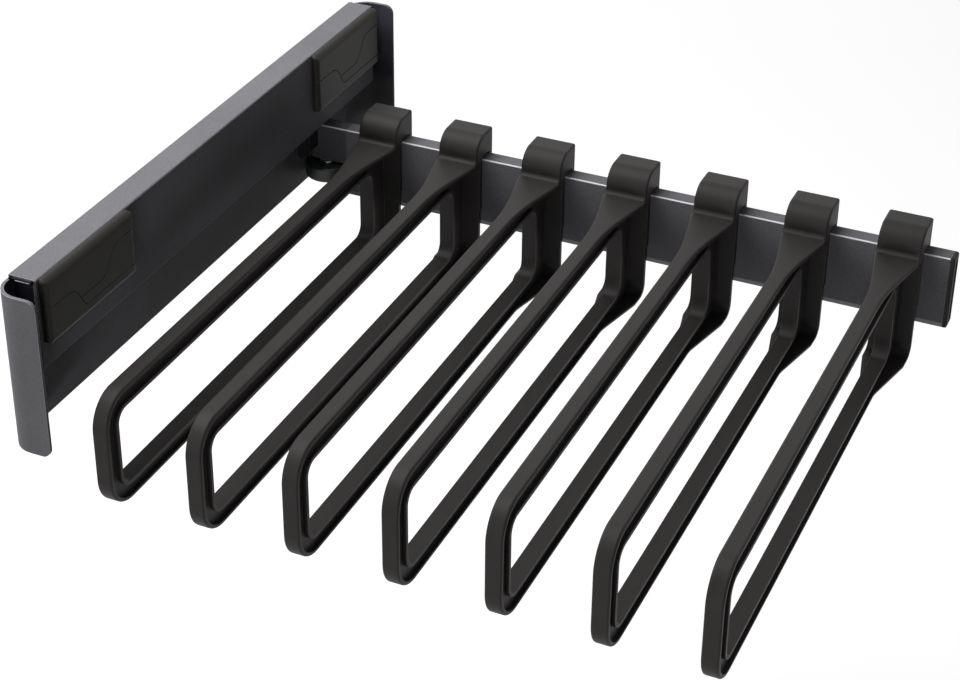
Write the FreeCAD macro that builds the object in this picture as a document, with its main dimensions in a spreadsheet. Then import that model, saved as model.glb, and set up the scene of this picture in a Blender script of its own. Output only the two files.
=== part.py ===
import FreeCAD, Part
import math
import os
import Sketcher

# Pull out trouser rack.  A bent wall plate screwed to the wardrobe's side carries a C rail
# under a sheet cover.  A wheeled carriage runs in the rail and holds a flat cantilever bar;
# seven moulded trouser arms hook over the bar and hang below it.
#
# Frame, in millimetres: X = 0 is the wall plate's back face, +X runs out along the bar,
# -Y is the way the rack pulls out, Z = 0 is the line of the rail and its screws.

SIZES = [
    # wall plate
    ("plate_length", 446.0, "wall plate over both flanges, along Y"),
    ("plate_top", 23.5, "plate's upper edge above the rail line"),
    ("plate_drop", 79.6, "plate's lower edge below the rail line"),
    ("plate_sheet", 2.0, "plate's thickness"),
    ("flange_reach", 29.5, "flange's free edge from the wall"),
    ("flange_bend", 15.2, "flange's outer bend radius"),
    ("flange_corner", 6.0, "radius on the flange's free corners"),
    # cover over the rail
    ("cover_reach", 18.0, "cover's face from the wall"),
    ("cover_sheet", 1.8, "cover's thickness"),
    ("cover_drop", 32.2, "cover's lower edge below the rail line"),
    ("cover_bend", 1.2, "cover's outer bend radius"),
    ("cover_front_gap", 18.5, "plate's front face to the cover's front end"),
    ("cover_rear_gap", 11.0, "cover's rear end to the plate's rear face"),
    # guide rail
    ("rail_depth", 8.0, "rail's depth off the plate"),
    ("rail_bore", 24.0, "height between the rail's two running faces"),
    ("rail_sheet", 1.5, "rail's thickness"),
    ("rail_slot", 14.0, "opening between the rail's lips"),
    ("rail_bend", 2.2, "rail's outer bend radius"),
    ("rivet_bore", 5.0, "flush rivets between rail and plate"),
    ("screw_bore", 5.0, "hole for a wall screw"),
    ("screw_pitch", 32.0, "two screws of a pair, along Y"),
    ("screw_head", 9.6, "countersink in the rail for the screw's head"),
    # end plugs and buffers
    ("plug_inset", 0.4, "plug's outer face inside the cover's end"),
    ("plug_length", 8.6, "plug along Y"),
    ("plug_edge", 0.8, "rounding of the plug's outer face"),
    ("plug_heel", 4.0, "rounding of the plug where the plate bends"),
    ("buffer_length", 4.5, "rubber buffer along Y"),
    ("buffer_bore", 5.2, "rubber buffer's diameter"),
    ("buffer_gap", 0.3, "carriage to buffer at each end of its travel"),
    # pads over the screws
    ("pad_length", 91.0, "pad along Y"),
    ("pad_inset", 2.0, "front pad's end behind the cover's front end"),
    ("pad_proud", 5.0, "pad's face off the cover"),
    ("pad_drop", 17.2, "pad's lower edge below the rail line"),
    ("pad_step", 0.5, "pad's upper edge below the cover's top"),
    ("pad_round", 4.7, "pad's long upper edge radius"),
    ("pad_edge", 3.0, "radius on the pad's other edges"),
    ("pad_corner", 2.6, "radius on the pad's four corners, seen from the side"),
    ("pad_seam", 0.6, "groove on the pad's face where its mouldings meet"),
    ("seam_depth", 1.0, "that groove's depth"),
    ("seam_high", 6.1, "seam's front run above the rail line"),
    ("seam_low", 9.9, "seam's lower run below the rail line"),
    ("seam_fork", 2.8, "where the seams meet, below the rail line"),
    ("seam_rise", 13.4, "seam's rear run above the rail line"),
    ("seam_bend", 9.0, "radius where a seam turns"),
    ("peg_bore", 4.0, "pad's locating peg"),
    ("peg_reach", 1.1, "peg past the cover's inner face"),
    ("access_bore", 10.5, "hole in the cover for the screwdriver"),
    # carriage
    ("carriage_sheet", 2.5, "carriage plate's thickness"),
    ("carriage_gap", 0.4, "rail's lips to the carriage plate"),
    ("carriage_top", 9.0, "carriage plate's upper edge above the rail line"),
    ("carriage_waist", 28.0, "underside of its long upper part"),
    ("carriage_nose", 36.0, "bar's middle to the carriage's front edge"),
    ("neck_drop", 50.0, "carriage plate's lower edge below the rail line"),
    ("neck_corner", 9.0, "radius on its lower corners"),
    # wheels in the rail
    ("wheel_gap", 0.3, "wheel's rim to each running face"),
    ("wheel_width", 4.4, "wheel's width"),
    ("wheel_front", 20.0, "bar's middle to the front wheel"),
    ("wheel_rear", 42.0, "bar's middle to the rear wheel"),
    ("axle_bore", 5.0, "wheel axle's diameter"),
    ("running_gap", 0.05, "radial clearance of a wheel on its axle"),
    # hub and support roller
    ("hub_height", 27.0, "hub block's height, down from the bar's top"),
    ("hub_clear", 2.6, "hub block's rounded end to the plate"),
    ("hub_corner", 1.2, "radius on the hub block's long edges"),
    ("boss_radius", 6.0, "boss under the hub that the roller runs against"),
    ("boss_height", 0.9, "boss below the hub's underside"),
    ("roller_radius", 16.0, "support roller that bears on the plate"),
    ("roller_height", 10.6, "support roller's height"),
    ("roller_gap", 0.3, "roller's rim to the plate, and its faces to boss and head"),
    ("roller_lead", 1.5, "roller's axle in front of the bar's middle"),
    ("roller_core", 10.5, "radius where the roller's tyre starts"),
    ("pin_bore", 6.0, "roller axle's diameter"),
    ("pin_depth", 13.0, "roller axle's depth in the hub"),
    # bar
    ("bar_setback", 81.0, "bar's middle to the plate's rear face, pushed in"),
    ("bar_top", 33.7, "bar's top below the rail line"),
    ("bar_height", 50.0, "bar's height"),
    ("bar_thick", 12.0, "bar's thickness"),
    ("bar_wall", 1.5, "bar tube's wall"),
    ("bar_corner", 1.2, "bar's corner radius"),
    ("bar_start", 35.0, "bar tube's left end from the wall"),
    ("bar_overhang", 30.5, "last arm's middle to the bar tube's right end"),
    ("spigot_length", 50.0, "hub's spigot inside the bar"),
    ("spigot_gap", 0.05, "spigot and end cap inside the bar"),
    ("cap_flange", 3.0, "end cap outside the bar"),
    ("cap_plug", 12.0, "end cap inside the bar"),
    ("bar_screw", 5.0, "screws from the bar into the spigot"),
    ("bar_screw_depth", 8.0, "screw's point below the bar's rear face"),
    # trouser arms
    ("first_arm", 63.5, "first arm's middle from the wall"),
    ("arm_pitch", 60.0, "from arm to arm"),
    ("arm_setback", 1.0, "plate's front face to the arm's front face"),
    ("arm_rise", 0.5, "arm's top above the bar's top"),
    ("arm_height", 75.3, "loop's height"),
    ("arm_width", 10.0, "arm's flanges across"),
    ("arm_web", 4.0, "web between the flanges"),
    ("arm_band", 12.7, "depth of the loop's band"),
    ("arm_flange", 2.5, "outer flange's thickness"),
    ("arm_lip", 2.3, "inner flange's thickness"),
    ("arm_tip_round", 21.0, "loop's front corner radius"),
    ("arm_heel_round", 9.0, "loop's rear lower corner radius"),
    ("arm_rear_band", 26.4, "rear band, bar to the loop's opening"),
    ("arm_back", 3.9, "wide back plate's thickness"),
    ("flare_length", 57.5, "upper strip's flare, in front of the bar"),
    ("flare_bend", 160.0, "radius where the upper flare starts"),
    ("heel_flare_length", 56.5, "lower strip's flare, in front of the bar"),
    ("heel_flare_end", 18.0, "where the lower flare is full, in front of the bar"),
    ("heel_flare_bend", 30.0, "radius where the lower flare starts"),
    ("hook_width", 28.2, "hook and back plate across"),
    ("hook_rise", 16.7, "hook's top above the bar's top"),
    ("hook_wall", 5.2, "hook's wall behind the bar"),
    ("hook_reach", 26.0, "hook's wall below the bar's top"),
    ("hook_front", 9.0, "hook's front wall before the bar"),
    ("hook_round", 13.0, "hook's convex front"),
    ("hook_crease", 3.0, "hollow where the hook meets the strip"),
    ("hook_edge", 1.4, "rounding of the hook's side edges"),
    ("flare_blend", 20.0, "radius where the upper flare runs into the hook's side"),
    ("slide_gap", 0.15, "hook to bar, all round"),
]

ARM_COUNT = 7

doc = FreeCAD.newDocument("TrouserRack")
sheet = doc.addObject("Spreadsheet::Sheet", "Sizes")
for row, (alias, value, meaning) in enumerate(SIZES, start=1):
    sheet.set(f"A{row}", meaning)
    sheet.set(f"B{row}", str(value))
    sheet.setAlias(f"B{row}", alias)
doc.recompute()


def size(alias):
    return float(sheet.get(alias))


# ---- places that several pieces share ---------------------------------------------------
PLATE_FRONT = -size("plate_length") / 2
PLATE_REAR = size("plate_length") / 2
COVER_FRONT = PLATE_FRONT + size("cover_front_gap")
COVER_REAR = PLATE_REAR - size("cover_rear_gap")
COVER_TOP = size("plate_top") + size("cover_sheet")
COVER_INSIDE = size("cover_reach") - size("cover_sheet")
RAIL_FRONT = COVER_FRONT + size("plug_inset") + size("plug_length")
RAIL_REAR = COVER_REAR - size("plug_inset") - size("plug_length")
RAIL_WEB = size("plate_sheet") + size("rail_sheet")
RAIL_FACE = size("plate_sheet") + size("rail_depth")
CARRIAGE_FACE = RAIL_FACE + size("carriage_gap")
CARRIAGE_BACK = CARRIAGE_FACE + size("carriage_sheet")
CARRIAGE_TAIL = RAIL_REAR - size("buffer_length") - size("buffer_gap")
BUFFER_X = (RAIL_FACE + COVER_INSIDE) / 2
WHEEL_RADIUS = size("rail_bore") / 2 - size("wheel_gap")
WHEEL_X = (RAIL_WEB + RAIL_FACE - size("rail_sheet") - size("wheel_width")) / 2
BAR_LINE = PLATE_REAR - size("bar_setback")
BAR_FRONT = BAR_LINE - size("bar_thick") / 2
BAR_REAR = BAR_LINE + size("bar_thick") / 2
BAR_TOP = -size("bar_top")
BAR_BOTTOM = BAR_TOP - size("bar_height")
BAR_LEFT = size("bar_start")
BAR_RIGHT = size("first_arm") + (ARM_COUNT - 1) * size("arm_pitch") + size("bar_overhang")
HUB_LEFT = size("plate_sheet") + size("hub_clear")
HUB_BOTTOM = BAR_TOP - size("hub_height")
ROLLER_X = size("plate_sheet") + size("roller_gap") + size("roller_radius")
ROLLER_Y = BAR_LINE - size("roller_lead")
ROLLER_TOP = HUB_BOTTOM - size("boss_height") - size("roller_gap")
ROLLER_BOTTOM = ROLLER_TOP - size("roller_height")
FRONT_WHEEL_Y = BAR_LINE - size("wheel_front")
REAR_WHEEL_Y = BAR_LINE + size("wheel_rear")
PAD_STARTS = {"front": COVER_FRONT + size("pad_inset"), "rear": COVER_REAR - size("pad_length")}
SCREW_LINES = [start + size("pad_length") / 2 for start in PAD_STARTS.values()]
SCREW_PLACES = [
    (line + side * size("screw_pitch") / 2, 0.0) for line in SCREW_LINES for side in (-1, 1)
]
RIVET_PLACES = [
    (RAIL_FRONT + (RAIL_REAR - RAIL_FRONT) * share, 0.0) for share in (0.32, 0.44, 0.56, 0.68)
]
BAR_SCREW_PLACES = [
    (BAR_LEFT + size("spigot_length") * share, BAR_BOTTOM + size("bar_height") / 4)
    for share in (0.26, 0.74)
]


# A sketch's own X and Y turned to the part's X and Z, and to the part's Y and Z.
UPRIGHT_ACROSS = FreeCAD.Rotation(FreeCAD.Vector(1, 0, 0), 90)
UPRIGHT_ALONG = FreeCAD.Rotation(FreeCAD.Vector(1, 1, 1), 120)


# ---- drawing helpers --------------------------------------------------------------------
def rounded(corners):
    """Lines and tangent arcs round a closed outline of (across, up, radius) corners."""
    points = [FreeCAD.Vector(a, b, 0) for a, b, _ in corners]
    count = len(points)
    arcs = []
    for i, (_, _, radius) in enumerate(corners):
        here = points[i]
        back = (points[i - 1] - here).normalize()
        ahead = (points[(i + 1) % count] - here).normalize()
        if radius <= 0:
            arcs.append((here, None, here))
            continue
        half = back.getAngle(ahead) / 2
        setback = radius / math.tan(half)
        middle = (back + ahead).normalize()
        nearest = here + middle * (radius / math.sin(half) - radius)
        arcs.append((here + back * setback, nearest, here + ahead * setback))
    edges = []
    for i, (start, nearest, end) in enumerate(arcs):
        if nearest is not None:
            edges.append(Part.Arc(start, nearest, end))
        following = arcs[(i + 1) % count][0]
        if (following - end).Length > 1e-6:
            edges.append(Part.LineSegment(end, following))
    return edges


def box_outline(low_across, high_across, low_up, high_up, radius=0.0):
    """A rectangle with one corner radius."""
    return [
        (low_across, low_up, radius),
        (high_across, low_up, radius),
        (high_across, high_up, radius),
        (low_across, high_up, radius),
    ]


def circle(across, up, radius):
    return Part.Circle(FreeCAD.Vector(across, up, 0), FreeCAD.Vector(0, 0, 1), radius)


def new_body(label):
    body = doc.addObject("PartDesign::Body", label)
    body.Label = label
    return body


def plane_of(body, role):
    return next(f for f in body.Origin.OriginFeatures if f.Role == role)


def new_sketch(body, name, role, offset, *outlines):
    """A sketch on one of the body's own planes, offset along the plane's normal.

    XY_Plane looks along +Z, YZ_Plane along +X and XZ_Plane along -Y.
    """
    sketch = body.newObject("Sketcher::SketchObject", name)
    sketch.AttachmentSupport = [(plane_of(body, role), "")]
    sketch.MapMode = "FlatFace"
    sketch.AttachmentOffset = FreeCAD.Placement(
        FreeCAD.Vector(0, 0, offset), FreeCAD.Rotation()
    )
    for outline in outlines:
        sketch.addGeometry(outline, False)
    return sketch


def new_pad(body, sketch, length, both_ways=False, reversed_way=False):
    """A pad whose length is a formula on the sheet."""
    pad = body.newObject("PartDesign::Pad", "Pad")
    pad.Profile = sketch
    pad.Midplane = both_ways
    pad.Reversed = reversed_way
    pad.setExpression("Length", length)
    doc.recompute()
    return pad


def new_pocket(body, sketch, length, reversed_way=False):
    """A pocket against the sketch's normal, or along it when reversed.  It must cut."""
    before = body.Shape.Volume
    pocket = body.newObject("PartDesign::Pocket", "Pocket")
    pocket.Profile = sketch
    pocket.Reversed = reversed_way
    pocket.setExpression("Length", length)
    doc.recompute()
    if body.Shape.Volume > before - 1e-3:
        raise ValueError(f"{body.Label}: a pocket cuts nothing")
    return pocket


def edge_names(shape, wanted):
    """Names of the edges for which wanted(edge) is true."""
    return [f"Edge{i}" for i, edge in enumerate(shape.Edges, start=1) if wanted(edge)]


def lies(edge, **limits):
    """True if the edge's box lies within the given (low, high) limits of x, y or z."""
    box = edge.BoundBox
    spans = {"x": (box.XMin, box.XMax), "y": (box.YMin, box.YMax), "z": (box.ZMin, box.ZMax)}
    slack = 1e-3
    return all(
        spans[axis][0] >= low - slack and spans[axis][1] <= high + slack
        for axis, (low, high) in limits.items()
    )


def at(value):
    return (value, value)


def lies_on_either_side(edge, half):
    """True if the edge lies in the plane X = half or X = -half."""
    return lies(edge, x=at(half)) or lies(edge, x=at(-half))


def new_fillet(body, radius, wanted):
    """Rounds the body's edges that wanted picks; radius is a formula on the sheet."""
    doc.recompute()
    tip = body.Tip
    names = edge_names(tip.Shape, wanted)
    fillet = body.newObject("PartDesign::Fillet", "Fillet")
    fillet.Base = (tip, names)
    fillet.setExpression("Radius", radius)
    doc.recompute()
    return fillet


def round_holes(body, name, role, offset, places, radius, depth, reversed_way=False):
    """Plain round holes at the places, cut from a plane."""
    sketch = new_sketch(body, name, role, offset, [circle(a, b, radius) for a, b in places])
    return new_pocket(body, sketch, depth, reversed_way)


def countersunk_holes(body, name, offset, places, bore, head):
    """Countersunk through holes from the plane X = offset towards the wall."""
    sketch = new_sketch(body, name, "YZ_Plane", offset, [circle(a, b, 1.0) for a, b in places])
    doc.recompute()
    hole = body.newObject("PartDesign::Hole", "Hole")
    hole.Profile = sketch
    doc.recompute()
    hole.Threaded = False
    hole.DepthType = "ThroughAll"
    hole.HoleCutType = "Countersink"
    hole.setExpression("Diameter", bore)
    hole.setExpression("HoleCutDiameter", head)
    hole.HoleCutCountersinkAngle = 90
    doc.recompute()
    return hole


def turned(label, axis, profile):
    """A turned piece.  The profile's corners are (along the axis, radius, rounding)."""
    body = new_body(label)
    sketch = body.newObject("Sketcher::SketchObject", "Profile")
    sketch.AttachmentSupport = [(plane_of(body, "XZ_Plane"), "")]
    sketch.MapMode = "FlatFace"
    if axis == "X":
        outline = profile
    else:
        outline = [(radius, along, rounding) for along, radius, rounding in profile]
    sketch.addGeometry(rounded(outline), False)
    turn = body.newObject("PartDesign::Revolution", "Revolution")
    turn.Profile = sketch
    turn.ReferenceAxis = (sketch, ["H_Axis" if axis == "X" else "V_Axis"])
    turn.Angle = 360
    doc.recompute()
    return body


def group(label, members):
    """Loose solids of one kind that share a node."""
    compound = doc.addObject("Part::Compound", label)
    compound.Label = label
    compound.Links = members
    return compound


def cylinder_x(name, x, y, z, radius, length):
    """A cylinder along +X; radius and length are formulas on the sheet."""
    pin = doc.addObject("Part::Cylinder", name)
    pin.setExpression("Radius", radius)
    pin.setExpression("Height", length)
    pin.Placement = FreeCAD.Placement(
        FreeCAD.Vector(x, y, z), FreeCAD.Rotation(FreeCAD.Vector(0, 1, 0), 90)
    )
    return pin


# ---- wall unit --------------------------------------------------------------------------
def make_wall_plate():
    """One sheet with a flange bent out at each end; it screws flat to the wardrobe's side."""
    body = new_body("wall_plate")
    reach = size("flange_reach")
    sheet_t = size("plate_sheet")
    bend = size("flange_bend")
    inner = max(bend - sheet_t, 0.0)
    outline = [
        (reach, PLATE_FRONT, 0),
        (reach, PLATE_FRONT + sheet_t, 0),
        (sheet_t, PLATE_FRONT + sheet_t, inner),
        (sheet_t, PLATE_REAR - sheet_t, inner),
        (reach, PLATE_REAR - sheet_t, 0),
        (reach, PLATE_REAR, 0),
        (0, PLATE_REAR, bend),
        (0, PLATE_FRONT, bend),
    ]
    sketch = new_sketch(body, "Section", "XY_Plane", -size("plate_drop"), rounded(outline))
    new_pad(body, sketch, "Sizes.plate_top + Sizes.plate_drop")
    new_fillet(
        body,
        "Sizes.flange_corner",
        lambda e: lies(e, x=at(reach)) and e.BoundBox.ZLength < 1e-6,
    )
    countersunk_holes(
        body,
        "ScrewHoles",
        sheet_t,
        SCREW_PLACES,
        "Sizes.screw_bore",
        "Sizes.screw_head - 2 * Sizes.rail_sheet",
    )
    round_holes(
        body,
        "RivetHoles",
        "YZ_Plane",
        sheet_t,
        RIVET_PLACES,
        size("rivet_bore") / 2,
        "Sizes.plate_sheet",
    )
    return body


def make_guide_rail():
    """Rolled C rail, riveted to the plate; its two inner faces carry the wheels."""
    body = new_body("guide_rail")
    left = size("plate_sheet")
    sheet_t = size("rail_sheet")
    right = RAIL_FACE
    inside = size("rail_bore") / 2
    outside = inside + sheet_t
    slot = size("rail_slot") / 2
    bend = size("rail_bend")
    inner = max(bend - sheet_t, 0.0)
    outline = [
        (left, -outside, bend),
        (right, -outside, bend),
        (right, -slot, 0),
        (right - sheet_t, -slot, 0),
        (right - sheet_t, -inside, inner),
        (left + sheet_t, -inside, inner),
        (left + sheet_t, inside, inner),
        (right - sheet_t, inside, inner),
        (right - sheet_t, slot, 0),
        (right, slot, 0),
        (right, outside, bend),
        (left, outside, bend),
    ]
    sketch = new_sketch(body, "Section", "XZ_Plane", -RAIL_REAR, rounded(outline))
    pad = new_pad(
        body,
        sketch,
        "Sizes.plate_length - Sizes.cover_front_gap - Sizes.cover_rear_gap"
        " - 2 * Sizes.plug_inset - 2 * Sizes.plug_length",
    )
    body.Tip = pad
    countersunk_holes(
        body,
        "ScrewHoles",
        RAIL_WEB,
        SCREW_PLACES,
        "Sizes.screw_head - 2 * Sizes.rail_sheet",
        "Sizes.screw_head",
    )
    round_holes(
        body,
        "RivetHoles",
        "YZ_Plane",
        RAIL_WEB,
        RIVET_PLACES,
        size("rivet_bore") / 2,
        "Sizes.rail_sheet",
    )
    return body


def make_rail_rivets():
    """Rivets through rail and plate, closed flush on both sides."""
    pins = [
        cylinder_x(
            f"Rivet{i}", 0, y, z, "Sizes.rivet_bore / 2", "Sizes.plate_sheet + Sizes.rail_sheet"
        )
        for i, (y, z) in enumerate(RIVET_PLACES)
    ]
    return group("rail_rivets", pins)


def peg_places(end):
    """Where each of a pad's three mouldings has its peg, as (y, z)."""
    start = PAD_STARTS[end]
    length = size("pad_length")
    top = COVER_TOP - size("pad_step")
    return {
        "upper": [(start + 0.14 * length, 0.66 * top), (start + 0.55 * length, 0.66 * top)],
        "lower": [(start + 0.14 * length, -0.45 * size("pad_drop")),
                  (start + 0.55 * length, -0.79 * size("pad_drop"))],
        "insert": [(start + 0.8 * length, 0.08 * top)],
    }


def make_rail_cover():
    """Sheet cover: its top lies on the plate's upper edge, its face hangs past the rail."""
    body = new_body("rail_cover")
    reach = size("cover_reach")
    sheet_t = size("cover_sheet")
    bend = size("cover_bend")
    drop = size("cover_drop")
    outline = [
        (0, COVER_TOP, 0),
        (0, COVER_TOP - sheet_t, 0),
        (COVER_INSIDE, COVER_TOP - sheet_t, max(bend - sheet_t, 0.0)),
        (COVER_INSIDE, -drop, 0),
        (reach, -drop, 0),
        (reach, COVER_TOP, bend),
    ]
    sketch = new_sketch(body, "Section", "XZ_Plane", -COVER_REAR, rounded(outline))
    new_pad(body, sketch, "Sizes.plate_length - Sizes.cover_front_gap - Sizes.cover_rear_gap")
    pegs = [place for end in PAD_STARTS for row in peg_places(end).values() for place in row]
    round_holes(
        body, "PegHoles", "YZ_Plane", reach, pegs, size("peg_bore") / 2, "Sizes.cover_sheet"
    )
    round_holes(
        body,
        "ScrewdriverHoles",
        "YZ_Plane",
        reach,
        SCREW_PLACES,
        size("access_bore") / 2,
        "Sizes.cover_sheet",
    )
    return body


def make_end_plug(label, rear_face, outer_face):
    """Moulded block that closes one end of the cover and holds it off the plate."""
    body = new_body(label)
    outline = box_outline(
        size("plate_sheet"), COVER_INSIDE, -size("cover_drop"), size("plate_top")
    )
    sketch = new_sketch(body, "Section", "XZ_Plane", -rear_face, rounded(outline))
    new_pad(body, sketch, "Sizes.plug_length")
    new_fillet(
        body,
        "Sizes.plug_heel",
        lambda e: lies(e, x=at(size("plate_sheet")), y=at(outer_face)),
    )
    heel_end = size("plate_sheet") + size("plug_heel")
    new_fillet(
        body,
        "Sizes.plug_edge",
        lambda e: lies(e, y=at(outer_face)) and not lies(e, x=at(heel_end)),
    )
    return body


def make_buffer(label, rear_face):
    """Rubber stop on the plug's inner face, in line with the carriage plate."""
    buffer = doc.addObject("Part::Cylinder", label)
    buffer.Label = label
    buffer.setExpression("Radius", "Sizes.buffer_bore / 2")
    buffer.setExpression("Height", "Sizes.buffer_length")
    buffer.Placement = FreeCAD.Placement(
        FreeCAD.Vector(BUFFER_X, rear_face, 0), FreeCAD.Rotation(FreeCAD.Vector(1, 0, 0), 90)
    )
    return buffer


# ---- pads: three mouldings each, parted along an S-shaped seam --------------------------
def pad_regions():
    """Outlines of the three mouldings, as (along the pad, up, radius) from its front end."""
    length = size("pad_length")
    over = 20.0
    high = size("seam_high")
    low = -size("seam_low")
    middle = -size("seam_fork")
    top = size("seam_rise")
    bend = size("seam_bend")
    fall_start = 0.295 * length
    fall_end = 0.4 * length
    fork_share = (high - middle) / (high - low)
    seam = [(-over, high, 0), (fall_start, high, 4 / 3 * bend)]
    foot = (fall_end, low, bend / 2)
    fork = (fall_start + fork_share * (fall_end - fall_start), middle, 0)
    rise = [(0.629 * length, middle, bend), (0.765 * length, top, bend), (length + over, top, 0)]
    return {
        "upper": seam + [fork] + rise + [(length + over, 2 * over, 0), (-over, 2 * over, 0)],
        "lower": seam + [foot, (length + over, low, 0), (length + over, -2 * over, 0),
                         (-over, -2 * over, 0)],
        "insert": [fork, foot, (length + over, low, 0)] + rise[::-1],
    }


def new_prism(name, outline, place, direction, length):
    """An outline drawn at a placement and drawn out along a direction by a formula's length."""
    sketch = doc.addObject("Sketcher::SketchObject", f"{name}_outline")
    sketch.addGeometry(rounded(outline), False)
    sketch.Placement = place
    prism = doc.addObject("Part::Extrusion", f"{name}_prism")
    prism.Base = sketch
    prism.DirMode = "Custom"
    prism.Dir = direction
    prism.setExpression("LengthFwd", length)
    prism.Solid = True
    return prism


def make_pad_blank(end):
    """The whole pad before it is parted: a flat block, rounded in all three views."""
    name = f"{end}_pad_blank"
    start = PAD_STARTS[end]
    finish = start + size("pad_length")
    inner = size("cover_reach")
    outer = inner + size("pad_proud")
    low = -size("pad_drop")
    high = COVER_TOP - size("pad_step")
    edge = size("pad_edge")
    height = "Sizes.plate_top + Sizes.cover_sheet - Sizes.pad_step + Sizes.pad_drop"
    section = [
        (inner, low, 0), (outer, low, edge), (outer, high, size("pad_round")), (inner, high, 0)
    ]
    plan = [(inner, start, 0), (outer, start, edge), (outer, finish, edge), (inner, finish, 0)]
    side = box_outline(start, finish, low, high, size("pad_corner"))
    views = [
        new_prism(
            f"{name}_section",
            section,
            FreeCAD.Placement(FreeCAD.Vector(0, start, 0), UPRIGHT_ACROSS),
            FreeCAD.Vector(0, 1, 0),
            "Sizes.pad_length",
        ),
        new_prism(
            f"{name}_plan",
            plan,
            FreeCAD.Placement(FreeCAD.Vector(0, 0, low), FreeCAD.Rotation()),
            FreeCAD.Vector(0, 0, 1),
            height,
        ),
        new_prism(
            f"{name}_side",
            side,
            FreeCAD.Placement(FreeCAD.Vector(inner, 0, 0), UPRIGHT_ALONG),
            FreeCAD.Vector(1, 0, 0),
            "Sizes.pad_proud",
        ),
    ]
    blank = doc.addObject("Part::MultiCommon", name)
    blank.Shapes = views
    return blank


def make_face_slab(end):
    """The layer of the pad's face that the groove lies in, behind the rounded front edge."""
    slab = doc.addObject("Part::Box", f"{end}_pad_face")
    slab.Placement.Base = FreeCAD.Vector(
        size("cover_reach") + size("pad_proud") - size("seam_depth"),
        PAD_STARTS[end] + size("pad_edge"),
        -size("pad_drop"),
    )
    slab.setExpression("Length", "Sizes.seam_depth")
    slab.setExpression("Width", "Sizes.pad_length - Sizes.pad_edge")
    slab.setExpression("Height", "Sizes.pad_drop + Sizes.plate_top + Sizes.cover_sheet")
    return slab


def boolean(kind, name, base, tool):
    """Part::Cut or Part::Common of two objects."""
    result = doc.addObject(kind, name)
    result.Base = base
    result.Tool = tool
    return result


def make_pad(end):
    """The pad's three mouldings, each with pegs through the cover and a grooved joint."""
    blank = make_pad_blank(end)
    slab = make_face_slab(end)
    place = FreeCAD.Placement(
        FreeCAD.Vector(size("cover_reach"), PAD_STARTS[end], 0), UPRIGHT_ALONG
    )
    outwards = FreeCAD.Vector(1, 0, 0)
    pieces = []
    for region, outline in pad_regions().items():
        name = f"{end}_pad_{region}"
        prism = new_prism(name, outline, place, outwards, "Sizes.pad_proud")
        whole = boolean("Part::Common", f"{name}_whole", blank, prism)
        face = new_prism(f"{name}_face", outline, place, outwards, "Sizes.pad_proud")
        inset = doc.addObject("Part::Offset2D", f"{name}_inset")
        inset.Source = face.Base
        inset.setExpression("Value", "-Sizes.pad_seam / 2")
        face.Base = inset
        groove = boolean("Part::Cut", f"{name}_groove", slab, face)
        cap = boolean("Part::Cut", f"{name}_cap", whole, groove)
        pegs = [
            cylinder_x(
                f"{name}_peg{i}",
                COVER_INSIDE - size("peg_reach"),
                y,
                z,
                "Sizes.peg_bore / 2",
                "Sizes.cover_sheet + Sizes.peg_reach",
            )
            for i, (y, z) in enumerate(peg_places(end)[region])
        ]
        piece = doc.addObject("Part::MultiFuse", name)
        piece.Label = name
        piece.Shapes = [cap] + pegs
        pieces.append(piece)
    return pieces


# ---- carriage ---------------------------------------------------------------------------
def make_carriage_plate():
    """Plate in front of the rail's lips; its neck drops out of the cover to the hub."""
    body = new_body("carriage_plate")
    nose = BAR_LINE - size("carriage_nose")
    heel = BAR_LINE + size("carriage_nose")
    top = size("carriage_top")
    waist = -size("carriage_waist")
    bottom = -size("neck_drop")
    corner = size("neck_corner")
    outline = [
        (nose, bottom, corner),
        (heel, bottom, corner),
        (heel, waist, 3.0),
        (CARRIAGE_TAIL, waist, 3.0),
        (CARRIAGE_TAIL, top, 3.0),
        (nose, top, 3.0),
    ]
    sketch = new_sketch(body, "Outline", "YZ_Plane", CARRIAGE_FACE, rounded(outline))
    new_pad(body, sketch, "Sizes.carriage_sheet")
    sketch = new_sketch(
        body,
        "HubSlot",
        "YZ_Plane",
        CARRIAGE_BACK,
        rounded(box_outline(BAR_FRONT, BAR_REAR, HUB_BOTTOM, BAR_TOP)),
    )
    new_pocket(body, sketch, "Sizes.carriage_sheet")
    round_holes(
        body,
        "AxleHoles",
        "YZ_Plane",
        CARRIAGE_BACK,
        [(FRONT_WHEEL_Y, 0.0), (REAR_WHEEL_Y, 0.0)],
        size("axle_bore") / 2,
        "Sizes.carriage_sheet",
    )
    return body


def make_wheel(label, y):
    """Moulded wheel on a plain axle, its axle's head sunk in its left face."""
    left = WHEEL_X
    right = WHEEL_X + size("wheel_width")
    bore = size("axle_bore") / 2 + size("running_gap")
    rim = WHEEL_RADIUS
    profile = [
        (left + 1.2, bore, 0),
        (right, bore, 0),
        (right, bore + 2.2, 0),
        (right - 0.7, bore + 3.0, 0),
        (right - 0.7, rim - 2.4, 0),
        (right, rim - 1.6, 0),
        (right, rim, 0.6),
        (left, rim, 0.6),
        (left, bore + 2.0, 0),
        (left + 1.2, bore + 2.0, 0),
    ]
    body = turned(label, "X", profile)
    body.Placement.Base = FreeCAD.Vector(0, y, 0)
    return body


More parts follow.
